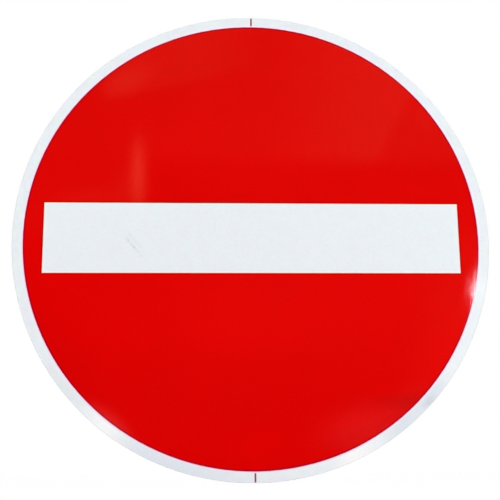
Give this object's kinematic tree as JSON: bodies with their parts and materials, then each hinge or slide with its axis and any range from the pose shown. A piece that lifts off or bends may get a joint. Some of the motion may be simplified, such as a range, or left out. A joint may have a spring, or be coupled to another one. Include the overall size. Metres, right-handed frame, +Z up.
{
  "type": "traffic sign",
  "caption": "Round red no-entry road sign with a white bar, glossy retroreflective films on a flat aluminium disc, and slotted aluminium rails bonded to its back.",
  "frame": {"origin": "on the disc's axis, halfway between the front of the red film and the rails' outer faces", "axes": "+Y from the face to the back, square to the disc; +X to the right of someone facing the sign, along the bar and the rails; +Z up"},
  "size_m": [0.5999, 0.014, 0.6],
  "materials": {
    "plate_aluminium": "mill-finish rolled sheet",
    "white_film": "glossy retroreflective sheeting",
    "red_film": "glossy transparent overlay film",
    "tick_ink": "printed line",
    "rail_aluminium": "as extruded, with fine die lines",
    "foam_tape": "closed-cell acrylic foam"
  },
  "bodies": {
    "root": {"sign_plate": "plate_aluminium", "white_sheeting": "white_film", "red_overlay": "red_film", "centre_ticks": "tick_ink", "upper_rail": "rail_aluminium", "lower_rail": "rail_aluminium", "upper_rail_tape": "foam_tape", "lower_rail_tape": "foam_tape"}
  },
  "joints": []
}
